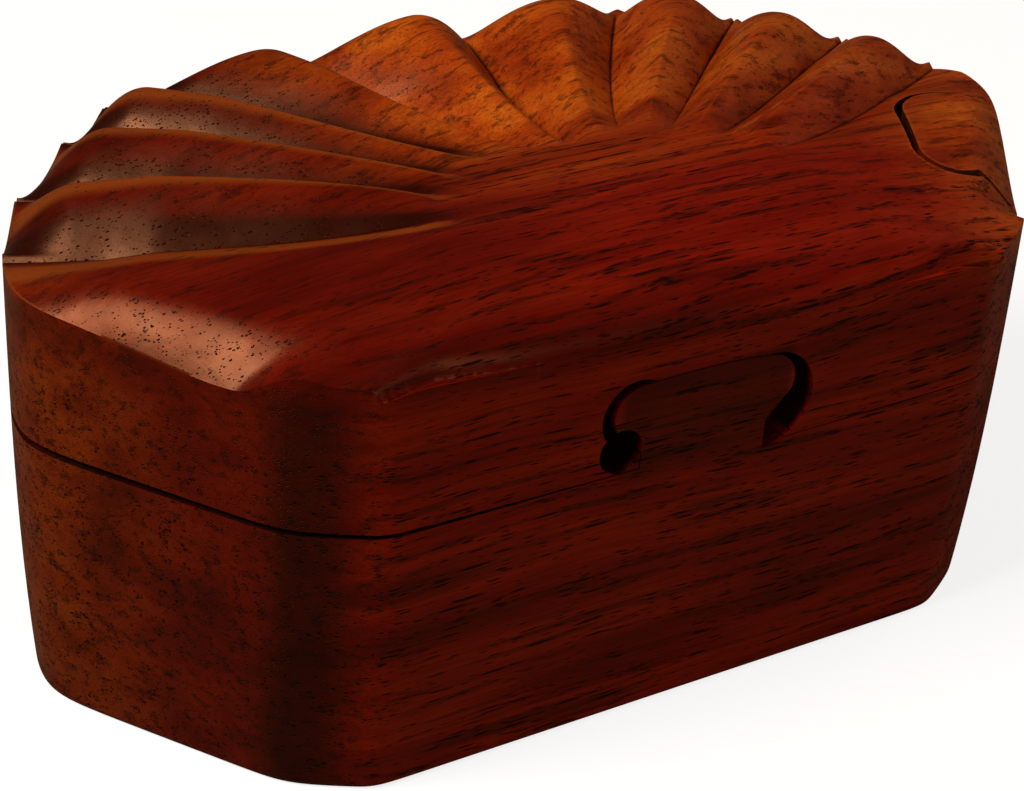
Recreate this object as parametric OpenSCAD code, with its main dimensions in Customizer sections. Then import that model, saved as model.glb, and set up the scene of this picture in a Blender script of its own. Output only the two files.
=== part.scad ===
// Scallop-shell puzzle box, sawn from one block of wood.
// The lid is carved as a shell and is held by a jigsaw-shaped tab that rises from the base.
// A corner key closes the bore of a loose steel pin, and the pin locks the lid to the tab.
// Millimetres, +Z up. The origin is under the middle of the box, on the surface it stands on.

/* [Block] */
// Width across the widest part of the shell
box_w = 151; // [140:1:180]
// Depth from the flat front to the back
box_d = 85; // [78:1:100]
// Height of the middle rib's hump, the top of the box
box_h = 69.6; // [66:0.1:76]
// Width of the flat front face
front_w = 90; // [80:1:104]
// Lean of the walls, outwards per millimetre of height
flare = 0.03; // [0:0.01:0.08]
// Height of the sawn parting line between base and lid
parting_z = 39; // [34:0.5:42]
// Radius of the sanded edge under the base
foot_r = 1.1; // [0.5:0.1:3]
// Thickness of the wall round the cavity
wall = 10; // [8:0.5:13]
// Thickness of the glued bottom slab at its thick, left end
slab_left = 7.4; // [6:0.1:10]
// Thickness of the glued bottom slab at its thin, right end
slab_right = 3.8; // [3:0.1:6]
// Thickness of the felt on the cavity's floor
felt_t = 1.2; // [0.8:0.1:2]

/* [Shell] */
// How far behind the front face the point lies from which the ribs fan out
fan_back = 18.5; // [16:0.5:22]
// How far the smooth plateau, where the ribs begin, lies below the top
plateau_drop = 3.9; // [2:0.1:6]
// How much lower the humps are at the two sides
side_fall = 6.8; // [2:0.1:8]
// How much higher the right end of the shell is than the middle, and the left end lower
end_lean = 0.5; // [0:0.1:1.5]
// How much the left front corner rises against that, and the right one falls
corner_lean = 2.8; // [0:0.1:4]
// How much lower the crest of the first and last rib is
lobe_drop = 1.6; // [0:0.1:3]
// How far the first and last rib fall away towards the front
lobe_fall = 2; // [0:0.1:5]
// How much lower they end at the front corners
lobe_end = 1.75; // [0:0.05:3]
// How far the belly of their rounded ends comes down
lobe_belly = 3.5; // [1:0.1:4]
// How far they reach past the corner of the side face, in degrees round the fan
lobe_past = 3.2; // [0:0.1:5]
// How far below the top the grooves run out through the wall
exit_drop = 9; // [7:0.1:11]
// How far the rounded end of a rib comes down below the grooves
scallop = 2.8; // [1:0.1:4]
// Depth of the grooves between the middle ribs
groove_depth = 6.8; // [4:0.1:8]
// Depth of the hollow in each rib beside the plateau
crest_dip = 0.9; // [0:0.1:2]
// How far the crest of the last left rib lies off its middle, as a share of half a rib
crest_skew = 0.4; // [0:0.05:0.6]
// How far the side ribs arch up between the plateau and the wall
side_arch = 2.8; // [0:0.1:4]
// Length of the rounded nose of a rib
nose_len = 9; // [6:0.5:14]
// Depth of the rounded shoulder above the front face
shoulder_d = 24; // [16:1:28]
// Height of the rounded shoulder above the front face
shoulder_h = 8; // [5:0.1:8]

/* [Jigsaw tab] */
// Height of the tab above the parting line
tab_h = 12.9; // [11:0.1:14]
// Width of the tab's head
head_w = 28; // [26:0.5:32]
// Width of the tab's neck
neck_w = 19; // [16:0.5:22]
// Radius of the two round ends of the head
head_r = 4; // [3.5:0.1:4.4]
// Radius of the relief hole beside the neck
relief_r = 3.1; // [2.5:0.1:3.4]
// Width of the wide slot on the other side of the neck
slot_w = 3.2; // [2.4:0.1:4]
// Sawn gap at the left end of the parting line
kerf_left = 1.0; // [0.5:0.1:1.4]
// Sawn gap where the lid lies tight on the base
kerf_tight = 0.15; // [0.1:0.05:0.4]

/* [Key and pin] */
// Length of the key along the box's side
key_len = 24.5; // [22:0.5:28]
// How far the key reaches in from the side
key_depth = 15.5; // [14:0.5:17]
// Gap round the free sides of the key
key_gap = 1.1; // [0.3:0.1:1.5]
// Diameter of the lock pin
pin_d = 3; // [2:0.1:4]
// Length of the lock pin
pin_len = 14; // [12:0.5:18]
// How far the lock pin slides
pin_travel = 9; // [7:0.5:10]
// Radial clearance of the pin in its bores
pin_clear = 0.06; // [0.03:0.01:0.1]
// Height of the pin's axis above the parting line
pin_z = 6.6; // [5:0.1:8]

/* [Hidden] */

front_y = -box_d / 2;
back_y = box_d / 2;
half_w = box_w / 2;
plateau_z = box_h - plateau_drop;
exit_z = box_h - exit_drop;
// The plan outline is measured at this height, under the scalloped rim.
rim_drop = 11.6;
rim_z = box_h - rim_drop;
far = 200;
// How far a cutting shape reaches past what it cuts
over = 4;

// The fan of ribs opens from this point.
fan_y = front_y + fan_back;
fan_centre = [0, fan_y];

// ---- helpers -------------------------------------------------------------
function mix(a, b, t) = a + (b - a) * t;
function clamp01(t) = max(0, min(1, t));
function smooth(t) = let (c = clamp01(t)) c * c * (3 - 2 * c);
function total(v) = v * [for (x = v) 1];

// ---- plan outline --------------------------------------------------------
// The outline at the rim is a rounded polygon: a flat front, two soft corner bands,
// two splayed side faces and a round back.
band = [10.6, 6.1];
corner_b = [front_w / 2 + band[0], front_y + band[1]];
side_c = [half_w, front_y + 37.5];
side_d = [half_w, front_y + 44.5];
back_e = [half_w - 9, back_y - 21];
back_f = [half_w - 30.5, back_y];
half_points = [[front_w / 2, front_y], corner_b, side_c, side_d, back_e, back_f];
outline_power = 50;

function edge_of(p, q) = let (t = (q - p) / norm(q - p), n = [t[1], -t[0]]) [n[0], n[1], n * (p - fan_centre)];
half_edges = [for (i = [0:len(half_points) - 2]) edge_of(half_points[i], half_points[i + 1])];
edges = concat(
    [[0, -1, fan_y - front_y], [0, 1, back_y - fan_y]],
    half_edges,
    [for (e = half_edges) [-e[0], e[1], e[2]]]
);

// Distance from the fan's centre to the wall, at angle a and height z
function reach(a, z, inset = 0) =
    let (u = [cos(a), sin(a)], back_off = inset + (rim_z - z) * flare)
    pow(total([for (e = edges) pow(max(0, (e[0] * u[0] + e[1] * u[1]) / (e[2] - back_off)), outline_power)]),
        -1 / outline_power);

function plan_point(a, r) = fan_centre + r * [cos(a), sin(a)];

// ---- fan of ribs ---------------------------------------------------------
// Angles of the five grooves of a half, counted from that side to the middle.
// They start on the plateau at the inner angle and leave the wall at the outer one, and the
// hand-cut halves differ a little at the wall.
groove_out = [22.3, 33.3, 45.6, 58.8, 80.5];
groove_left = [23, 34, 46.7, 55.5, 73.5];
groove_in = [15, 32, 47, 63, 81];
grooves = 2 * len(groove_out);
ribs = grooves + 1;
function is_lobe(k) = k == 0 || k == ribs - 1;
side_angle = lobe_past - atan2(corner_b[1] - fan_y, corner_b[0]);

function bound(right, left, k) =
    k <= 0 ? -side_angle :
    k <= len(right) ? right[k - 1] :
    k <= grooves ? 180 - left[grooves - k] :
    180 + side_angle;

// Sample positions round the fan: whole numbers are grooves, and the last sector is the plain front.
rib_steps = 7;
lobe_steps = 12;
front_steps = 26;
function steps(k) = is_lobe(k) ? lobe_steps : rib_steps;
stations = concat(
    [for (k = [0:ribs - 1]) each [for (i = [0:steps(k) - 1]) k + i / steps(k)]],
    [for (i = [0:front_steps - 1]) ribs + i / front_steps]
);
function front_angle(f) =
    let (edge_a = 90 - side_angle)
    270 + mix(edge_a * (2 * f - 1), atan(tan(edge_a) * (2 * f - 1)), 0.5);
function sector_angle(right, left, s) =
    let (k = floor(s), f = s - k)
    k < ribs ? mix(bound(right, left, k), bound(right, left, k + 1), f) : front_angle(f);

// Height of the carved top. s is the station, a the angle at the wall, r and wall_r the distances
// from the fan's centre to the point and to the wall, and p the point in plan.
function rib_start(a) = 18 + 9 * abs(cos(a));
function crest(x, q) =
    mix(plateau_z, box_h - side_fall * pow(abs(x) / half_w, 1.2), smooth(q))
    - crest_dip * sin(180 * clamp01(q / 0.65));
function lean_at(p) = -p[0] / half_w * (corner_lean * clamp01(2 * p[1] / -box_d) - end_lean);
function groove_at(a, q) =
    let (side = pow(cos(a), 2))
    groove_depth * (1 - 0.5 * side) * pow(clamp01(q / mix(0.55, 0.8, side)), mix(0.7, 0.9, side));
function shoulder_drop(p, w) =
    let (
        side = half_edges[0],
        u_front = clamp01(1 - (p[1] - front_y) / shoulder_d),
        u_band = w * clamp01(1 - (side[2] - side[0] * abs(p[0]) - side[1] * (p[1] - fan_y)) / (shoulder_d * 0.6)),
        u = min(1, pow(pow(u_front, 4) + pow(u_band, 4), 0.25))
    )
    shoulder_h * (1 - sqrt(1 - pow(u, 2.2)));
function rib_top(k, f, a, r, wall_r, p) =
    let (
        start = rib_start(a),
        q = clamp01((r - start) / (wall_r - start)),
        plain = (k == 0 && f < 0) || (k == ribs - 1 && f > 0),
        peak = is_lobe(k) ? 0 : -crest_skew * k / (ribs - 2),
        low = plain ? 0 : pow(abs(f - peak) / (f < peak ? 1 + peak : 1 - peak),
            is_lobe(k) ? 4 : mix(1.35, 2.2, smooth(2 * q - 1))),
        side = is_lobe(k) ? 0 : smooth((abs(k - (ribs - 1) / 2) - 1) / 3),
        fall = !is_lobe(k) ? 0 : k == 0 ? (1 - f) / 2 : (1 + f) / 2,
        body = crest(p[0], q * (1 - smooth(fall))) + side_arch * side * (1 - low) * sin(180 * pow(q, 0.7))
            - groove_at(a, q) * low - shoulder_drop(p, 0)
            - (is_lobe(k) ? (lobe_drop * (1 - low) + lobe_fall * smooth(fall)) * q : 0),
        scoop = is_lobe(k) ? lobe_end * fall + lobe_belly * sin(180 * fall * fall) : scallop * (1 - f * f),
        edge = min(body, exit_z - scoop),
        nose = is_lobe(k) ? nose_len * mix(0.8, 1.3, fall) : nose_len,
        t = clamp01((wall_r - r) / nose)
    )
    body - (body - edge) * (1 - t) * (1 - t) * (1 - smooth(4 * fall - 3)) + lean_at(p);
function front_top(a, r, wall_r, p) =
    let (
        away = smooth(min(a - 180 - side_angle, 360 - side_angle - a) / 9),
        start = rib_start(a),
        q = (1 - away) * clamp01((r - start) / max(1, wall_r - start))
    )
    plateau_z - shoulder_drop(p, away) - (lobe_drop + lobe_fall) * q + lean_at(p);

// Ring positions, as shares of the way from the fan's centre to the wall
rings = [0.12, 0.22, 0.3, 0.37, 0.45, 0.54, 0.64, 0.73, 0.81, 0.87, 0.92, 0.96, 0.985, 1];
function top_point(s, share) =
    let (
        k = floor(s),
        a_out = sector_angle(groove_out, groove_left, s),
        a_in = sector_angle(groove_in, groove_in, s),
        wall_r = reach(a_out, rim_z),
        r = share * wall_r,
        start = rib_start(a_out),
        a = mix(a_in, a_out, clamp01((r - start) / (wall_r - start))),
        p = plan_point(a, r),
        z = k < ribs ? rib_top(k, 2 * (s - k) - 1, a_out, r, wall_r, p) : front_top(a_out, r, wall_r, p)
    )
    [p[0], p[1], z];
function wall_point(s, z, inset = 0) =
    let (a = sector_angle(groove_out, groove_left, s), p = plan_point(a, reach(a, z, inset))) [p[0], p[1], z];

// Two triangles; the diagonal is mirrored on the left half, so both halves are cut alike
function quad(a, b, c, d, left) = left ? [[a, b, c], [a, c, d]] : [[a, b, d], [b, c, d]];

// A closed skin over rings of points, from the top ring to the bottom ring
module skin(top, loops) {
    n = len(loops[0]);
    m = len(loops);
    points = concat([top], [for (loop = loops) each loop]);
    fan = [for (i = [0:n - 1]) [0, 1 + (i + 1) % n, 1 + i]];
    sides = [for (j = [0:m - 2], i = [0:n - 1]) each quad(
        1 + j * n + i,
        1 + j * n + (i + 1) % n,
        1 + (j + 1) * n + (i + 1) % n,
        1 + (j + 1) * n + i,
        loops[j][i][0] < 0
    )];
    floor_face = [[for (i = [0:n - 1]) 1 + (m - 1) * n + i]];
    polyhedron(points = points, faces = concat(fan, sides, floor_face), convexity = 10);
}

// The carved block above height z_low
module carved_block(z_low) {
    centre = [0, fan_y, plateau_z - shoulder_drop([0, fan_y], 0)];
    loops = concat(
        [for (share = rings) [for (s = stations) top_point(s, share)]],
        [[for (s = stations) wall_point(s, rim_z - over)]],
        [[for (s = stations) wall_point(s, z_low)]]
    );
    skin(centre, loops);
}

// The plain block from the foot to height z_high
module plain_block(z_high) {
    loops = concat(
        [[for (s = stations) wall_point(s, z_high)]],
        [for (a = [0:30:90]) [for (s = stations) wall_point(s, foot_r * (1 - sin(a)), foot_r * (1 - cos(a)) * 0.8)]]
    );
    skin([0, fan_y, z_high], loops);
}

module cavity_outline(inset) {
    polygon([for (a = [0:5:355]) plan_point(a, reach(a, parting_z, inset))]);
}

// ---- jigsaw profile, drawn in X and height above the parting line ---------
// Everything here runs through the whole depth of the box, so the lid can slide off to the back.
head_left = [-head_w / 2 + head_r + 0.2, tab_h - head_r - 0.4];
head_right = [head_w / 2 - head_r - 0.6, tab_h - head_r - 0.9];
relief = [-neck_w / 2 - relief_r, relief_r + 0.6];
slot_r = 7;
slot_c = [head_right[0] + head_r + slot_w - slot_r, 5.3];
neck_left_h = 3;
neck_right_h = 2.6;

module along_y(from, to) {
    translate([0, to, parting_z]) rotate([90, 0, 0]) linear_extrude(height = to - from) children();
}

function arc(c, r, a0, a1, n) = [for (i = [0:n]) let (a = mix(a0, a1, i / n)) c + r * [cos(a), sin(a)]];
module tab_profile(grow = 0) {
    r = head_r + grow;
    polygon(concat(
        [[-neck_w / 2 - grow, -4], [-neck_w / 2 - grow, neck_left_h]],
        arc(head_left, r, 215, 95, 20),
        [[-head_w * 0.12, tab_h + grow], [head_w * 0.18, tab_h + grow]],
        arc(head_right, r, 80, -25, 20),
        [[neck_w / 2 + grow, neck_right_h], [neck_w / 2 + grow, -4]]
    ));
}

module relief_hole() {
    translate(relief) circle(r = relief_r, $fn = 64);
}

// The void round the tab: the relief hole, the thin slot above it and the wide slot
module slot_profile() {
    relief_hole();
    translate([head_left[0] - 0.9, head_left[1]]) circle(r = head_r + 1, $fn = 64);
    translate(slot_c) circle(r = slot_r, $fn = 64);
}

// Sawn line on the right, from the foot of the wide slot to the right end
slot_foot = [slot_c[0] + 2, slot_c[1] - slot_r + 0.7];
module below_parting(lift_left, lift_right) {
    polygon([
        [-far, -far],
        [-far, lift_left],
        [-half_w, lift_left],
        [relief[0], 0.4 + lift_right],
        [slot_foot[0] - 4, 0.4 + lift_right],
        [slot_foot[0], slot_foot[1] + lift_right],
        [half_w, lift_right],
        [far, lift_right],
        [far, -far]
    ]);
}

module base_profile() {
    difference() {
        below_parting(0, 0);
        slot_profile();
    }
    difference() {
        tab_profile();
        relief_hole();
    }
}

module lid_profile() {
    difference() {
        translate([-far, -far / 2]) square([2 * far, far]);
        below_parting(kerf_left, kerf_tight);
        slot_profile();
        tab_profile(kerf_tight);
    }
}

// ---- glued bottom slab ---------------------------------------------------
slab_tilt = atan((slab_left - slab_right) / box_w);
module slab_space() {
    translate([0, 0, (slab_left + slab_right) / 2]) rotate([0, slab_tilt, 0])
        translate([-far, -far, -far]) cube([2 * far, 2 * far, far]);
}

// ---- key -----------------------------------------------------------------
// The key's plan is a tongue that reaches in from the right side face.
side_edge = half_edges[1];
side_normal = [side_edge[0], side_edge[1]];
side_along = [-side_edge[1], side_edge[0]];
// A place given by its distance along the side face from the corner band, and inwards from the face
function side_place(along, inwards) = corner_b + along * side_along - inwards * side_normal;
key_front = 5.6;
tip_r = 4.2;
tongue_r = 9;

module key_plan(grow = 0, tight = 0) {
    key_rear = key_front + key_len;
    tongue_c = [key_rear - tongue_r - grow / 2, key_depth - tongue_r + grow / 2];
    hull() {
        translate(side_place(key_front + tip_r, key_depth - tip_r - 1)) circle(r = tip_r + grow, $fn = 32);
        translate(side_place(tongue_c[0], tongue_c[1])) circle(r = tongue_r + tight + grow / 2, $fn = 48);
    }
    polygon([
        side_place(key_front + 2.6 - grow, key_depth - tip_r - 4.5),
        side_place(key_front + 2.2 - grow, 3),
        side_place(key_front + 1.4 - grow, -1.5 * over),
        side_place(key_rear + tight, -1.5 * over),
        side_place(key_rear + tight, tongue_c[1]),
        side_place(key_front + tip_r, key_depth - tip_r)
    ]);
}

module key_prism(low, grow = 0, tight = 0) {
    translate([0, 0, low]) linear_extrude(height = far) key_plan(grow, tight);
}

// ---- lock pin --------------------------------------------------------------
pin_axis_z = parting_z + pin_z;
pin_y = front_y + wall / 2 + 0.6;
pin_start = slot_c[0] + slot_r + 0.3;
module pin_space(from, to, r) {
    translate([from, pin_y, pin_axis_z]) rotate([0, 90, 0]) cylinder(h = to - from, r = r, $fn = 48);
}

// ---- sub-parts -------------------------------------------------------------
// The carved block is drawn from here, a little under the sawn line
lid_foot = parting_z - over;

module base_body() {
    color([0.36, 0.11, 0.04]) difference() {
        intersection() {
            plain_block(parting_z + tab_h + over);
            along_y(-far, far) base_profile();
        }
        slab_space();
        translate([0, 0, 1]) linear_extrude(height = far) cavity_outline(wall);
        pin_space(pin_start - pin_travel - 1, slot_c[0] + slot_r, pin_d / 2 + pin_clear);
    }
}

module bottom_slab() {
    color([0.32, 0.1, 0.04]) intersection() {
        plain_block(slab_left + over);
        slab_space();
    }
}

module floor_felt() {
    color([0.1, 0.14, 0.1]) translate([0, 0, (slab_left + slab_right) / 2]) rotate([0, slab_tilt, 0])
        linear_extrude(height = felt_t) cavity_outline(wall + 0.8);
}

module shell_lid() {
    color([0.4, 0.12, 0.04]) difference() {
        intersection() {
            carved_block(lid_foot);
            along_y(-far, far) lid_profile();
        }
        key_prism(lid_foot - over, key_gap, kerf_tight);
        pin_space(slot_c[0] + slot_r - over / 2, pin_start + pin_len + 0.5, pin_d / 2 + pin_clear);
    }
}

module corner_key() {
    color([0.5, 0.2, 0.06]) intersection() {
        carved_block(lid_foot);
        key_prism(parting_z + kerf_tight);
    }
}

module lock_pin() {
    color([0.7, 0.7, 0.72]) pin_space(pin_start, pin_start + pin_len, pin_d / 2);
}

base_body();
bottom_slab();
floor_felt();
shell_lid();
corner_key();
lock_pin();
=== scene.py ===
import math
import bmesh
import bpy
import numpy as np
from mathutils import Matrix, Vector


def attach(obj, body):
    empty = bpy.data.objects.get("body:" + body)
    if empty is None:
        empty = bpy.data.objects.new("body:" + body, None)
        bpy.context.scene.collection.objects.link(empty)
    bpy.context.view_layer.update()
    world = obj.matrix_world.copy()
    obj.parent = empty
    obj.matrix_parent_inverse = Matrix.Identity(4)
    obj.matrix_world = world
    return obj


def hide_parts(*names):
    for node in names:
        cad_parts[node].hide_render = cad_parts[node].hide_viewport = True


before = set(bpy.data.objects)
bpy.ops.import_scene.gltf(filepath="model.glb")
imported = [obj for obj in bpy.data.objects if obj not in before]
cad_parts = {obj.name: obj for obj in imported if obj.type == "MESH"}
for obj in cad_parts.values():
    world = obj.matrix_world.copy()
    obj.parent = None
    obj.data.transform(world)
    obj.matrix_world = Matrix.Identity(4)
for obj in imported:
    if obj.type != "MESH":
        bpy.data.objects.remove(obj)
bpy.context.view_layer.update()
MM = 0.001

# ---------------------------------------------------------------- camera, fitted to the photograph
YAW = math.radians(32.80)
PITCH = math.radians(30.62)
ROLL = math.radians(3.745)
CAMERA_AT = (-166.02, -254.99, 204.71)
FOCAL_PX = 2500.0
PHOTO_W_PX = 1024
SENSOR_W = 36


def make_camera():
    ahead = np.array([math.sin(YAW) * math.cos(PITCH), math.cos(YAW) * math.cos(PITCH), -math.sin(PITCH)])
    right = np.array([math.cos(YAW), -math.sin(YAW), 0.0])
    up = np.cross(right, ahead)
    c = math.cos(ROLL)
    s = math.sin(ROLL)
    x = c * right + s * up
    y = -s * right + c * up
    data = bpy.data.cameras.new("camera")
    data.sensor_fit = "HORIZONTAL"
    data.sensor_width = SENSOR_W
    data.lens = FOCAL_PX / PHOTO_W_PX * SENSOR_W
    data.clip_start = 0.01
    data.clip_end = 20
    obj = bpy.data.objects.new("camera", data)
    bpy.context.scene.collection.objects.link(obj)
    obj.matrix_world = Matrix([[x[i], y[i], -ahead[i], CAMERA_AT[i] * MM] for i in range(3)] + [[0, 0, 0, 1]])
    bpy.context.scene.camera = obj


make_camera()
bpy.context.scene.view_settings.view_transform = "Standard"

# ---------------------------------------------------------------- sizes in mm, as in part.scad
# the block
BOX_W = 151.0
BOX_D = 85.0
BOX_H = 69.6
FRONT_W = 90.0
FLARE = 0.03
PARTING_Z = 39.0
FOOT_R = 1.1
WALL = 10.0
SLAB_LEFT = 7.4
SLAB_RIGHT = 3.8

# the carved shell
PLATEAU_Z = BOX_H - 3.9
EXIT_Z = BOX_H - 9.0
RIM_Z = BOX_H - 11.6
TOP_Z = 69.17  # the highest point of the CAD, to which this finer mesh is clipped
SIDE_FALL = 6.8
END_LEAN = 0.5
CORNER_LEAN = 2.8
LOBE_DROP = 1.6
LOBE_FALL = 2.0
LOBE_END = 1.75
LOBE_BELLY = 3.5
LOBE_PAST = 3.2
SCALLOP = 2.8
GROOVE_DEPTH = 6.8
CREST_DIP = 0.9
CREST_SKEW = 0.4
SIDE_ARCH = 2.8
NOSE_LEN = 9.0
SHOULDER_D = 24.0
SHOULDER_H = 8.0

# the jigsaw tab, the key and the pin
TAB_H = 12.9
HEAD_W = 28.0
NECK_W = 19.0
HEAD_R = 4.0
RELIEF_R = 3.1
SLOT_W = 3.2
KERF_LEFT = 1.0
KERF_TIGHT = 0.15
KEY_LEN = 24.5
KEY_DEPTH = 15.5
KEY_GAP = 1.1
KEY_FRONT = 5.6
TIP_R = 4.2
TONGUE_R = 9.0
PIN_D = 3.0
PIN_LEN = 14.0
PIN_TRAVEL = 9.0
PIN_CLEAR = 0.06
PIN_Z = 6.6

HALF_W = BOX_W / 2
FRONT_Y = -BOX_D / 2
BACK_Y = BOX_D / 2
FAN_Y = FRONT_Y + 18.5
CAVITY_IN = WALL + 0.51
SLAB_MID = (SLAB_LEFT + SLAB_RIGHT) / 2
SLAB_SLOPE = (SLAB_RIGHT - SLAB_LEFT) / BOX_W

# corners of the right half of the plan, from the flat front to the back
SIDE_FRONT = np.array([FRONT_W / 2 + 10.6, FRONT_Y + 6.1])
PLAN = [(FRONT_W / 2, FRONT_Y), tuple(SIDE_FRONT), (HALF_W, FRONT_Y + 37.5), (HALF_W, FRONT_Y + 44.5),
        (HALF_W - 9, FRONT_Y + 64), (HALF_W - 30.5, BACK_Y)]
CORNER_POWER = 50  # the higher, the sharper the plan's corners

# how the carving rounds off
PLATEAU_R = 18  # where the ribs start behind the fan's centre
PLATEAU_WIDER = 9  # how much further out they start at the sides
HUMP_POWER = 1.2  # how the crests fall towards the sides
DIP_END = 0.65  # the share of a rib that its hollow beside the plateau takes up
FULL_GROOVE = (0.55, 0.8)  # the share of a rib at which the groove is full depth, behind and at the sides
GROOVE_POWER = (0.7, 0.9)  # how the groove gets there, behind and at the sides
RIB_POWER = (1.35, 2.2)  # roundness of a rib's section, in its inner half and by the wall
LOBE_POWER = 4
ARCH_POWER = 0.7
NOSE_SHARE = (0.8, 1.3)  # length of a lobe's nose, by its groove and by the front
FRONT_BLEND = 9  # the degrees over which the plain front meets the lobes
SHOULDER_POWER = 2.2
BAND_SHARE = 0.6  # depth of the shoulder over the corner band, as a share of SHOULDER_D

# angles of the grooves round the fan, in degrees from the x axis on each side
GROOVE_RIGHT = [22.3, 33.3, 45.6, 58.8, 80.5]
GROOVE_LEFT = [23, 34, 46.7, 55.5, 73.5]
GROOVE_IN = [15, 32, 47, 63, 81]
RIBS = 11


# ---------------------------------------------------------------- plan outline and carved top
def half_edges():
    """Each edge of the right half, as its normal and its distance from the fan's centre."""
    out = []
    for p, q in zip(PLAN[:-1], PLAN[1:]):
        t = np.subtract(q, p)
        t = t / np.hypot(*t)
        n = (t[1], -t[0])
        out.append((n[0], n[1], n[0] * p[0] + n[1] * (p[1] - FAN_Y)))
    return out


HALF_EDGES = half_edges()
CORNER_EDGE = HALF_EDGES[0]
SIDE_EDGE = HALF_EDGES[1]
EDGES = np.array([(0, -1, FAN_Y - FRONT_Y), (0, 1, BACK_Y - FAN_Y)] + HALF_EDGES
                 + [(-a, b, c) for a, b, c in HALF_EDGES])


def reach(a, z, inset=0.0):
    """Distance from the fan's centre to the wall, at angle a (radians) and height z.
    The walls stand nearly upright above and lean in towards the foot, with the CAD's foot and rim."""
    a = np.asarray(a, float)[..., None]
    off = np.asarray(inset + RIM_Z * FLARE * (1 - np.asarray(z, float) / RIM_Z) ** 3)[..., None]
    v = np.maximum(0, (EDGES[:, 0] * np.cos(a) + EDGES[:, 1] * np.sin(a)) / (EDGES[:, 2] - off))
    return (v ** CORNER_POWER).sum(-1) ** (-1 / CORNER_POWER)


def smooth(t):
    t = np.clip(t, 0, 1)
    return t * t * (3 - 2 * t)


def mix(a, b, t):
    return a + (b - a) * t


# the first and last rib end this many degrees in front of the x axis
LOBE_FRONT = LOBE_PAST - math.degrees(math.atan2(SIDE_FRONT[1] - FAN_Y, SIDE_FRONT[0]))


def rib_bounds(right, left):
    return np.radians([-LOBE_FRONT] + right + [180 - g for g in left[::-1]] + [180 + LOBE_FRONT])


BOUNDS_OUT = rib_bounds(GROOVE_RIGHT, GROOVE_LEFT)
BOUNDS_IN = rib_bounds(GROOVE_IN, GROOVE_IN)


def rib_start(a):
    return PLATEAU_R + PLATEAU_WIDER * np.abs(np.cos(a))


def crest(x, q):
    """Height of a rib's crest, at share q of the way from the plateau to the wall."""
    hump = BOX_H - SIDE_FALL * np.abs(x / HALF_W) ** HUMP_POWER
    return mix(PLATEAU_Z, hump, smooth(q)) - CREST_DIP * np.sin(math.pi * np.clip(q / DIP_END, 0, 1))


def groove_at(a, q):
    """Depth of a groove: half as deep at the sides as at the back, and full sooner there."""
    side = np.cos(a) ** 2
    share = np.clip(q / mix(*FULL_GROOVE, side), 0, 1)
    return GROOVE_DEPTH * (1 - 0.5 * side) * share ** mix(*GROOVE_POWER, side)


def shoulder_drop(x, y, round_corner):
    """Fall of the rounded shoulder above the front, which also turns the corner where round_corner is 1."""
    nx, ny, gap = CORNER_EDGE
    from_front = np.clip(1 - (y - FRONT_Y) / SHOULDER_D, 0, 1)
    from_band = np.clip(1 - (gap - nx * np.abs(x) - ny * (y - FAN_Y)) / (SHOULDER_D * BAND_SHARE), 0, 1)
    u = np.minimum(1, (from_front ** 4 + (round_corner * from_band) ** 4) ** 0.25)
    return SHOULDER_H * (1 - np.sqrt(1 - u ** SHOULDER_POWER))


def lean_at(x, y):
    return -x / HALF_W * (CORNER_LEAN * np.clip(2 * y / -BOX_D, 0, 1) - END_LEAN)


def stations(rib_n, lobe_n, front_n):
    """Arrays round the fan: rib number, place across the rib (-1 to 1), outer and inner angle."""
    ribs = []
    places = []
    outer = []
    inner = []
    for k in range(RIBS):
        n = lobe_n if k in (0, RIBS - 1) else rib_n
        f = np.arange(n) / n
        ribs += [k] * n
        places += list(2 * f - 1)
        outer += list(mix(BOUNDS_OUT[k], BOUNDS_OUT[k + 1], f))
        inner += list(mix(BOUNDS_IN[k], BOUNDS_IN[k + 1], f))
    # along the plain front, spacing is between even angles and even steps in x
    f = np.arange(front_n) / front_n
    edge = math.pi / 2 - math.radians(LOBE_FRONT)
    a = 1.5 * math.pi + mix(edge * (2 * f - 1), np.arctan(math.tan(edge) * (2 * f - 1)), 0.5)
    ribs += [RIBS] * front_n
    places += list(2 * f - 1)
    outer += list(a)
    inner += list(a)
    return np.array(ribs), np.array(places), np.array(outer), np.array(inner)


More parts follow.
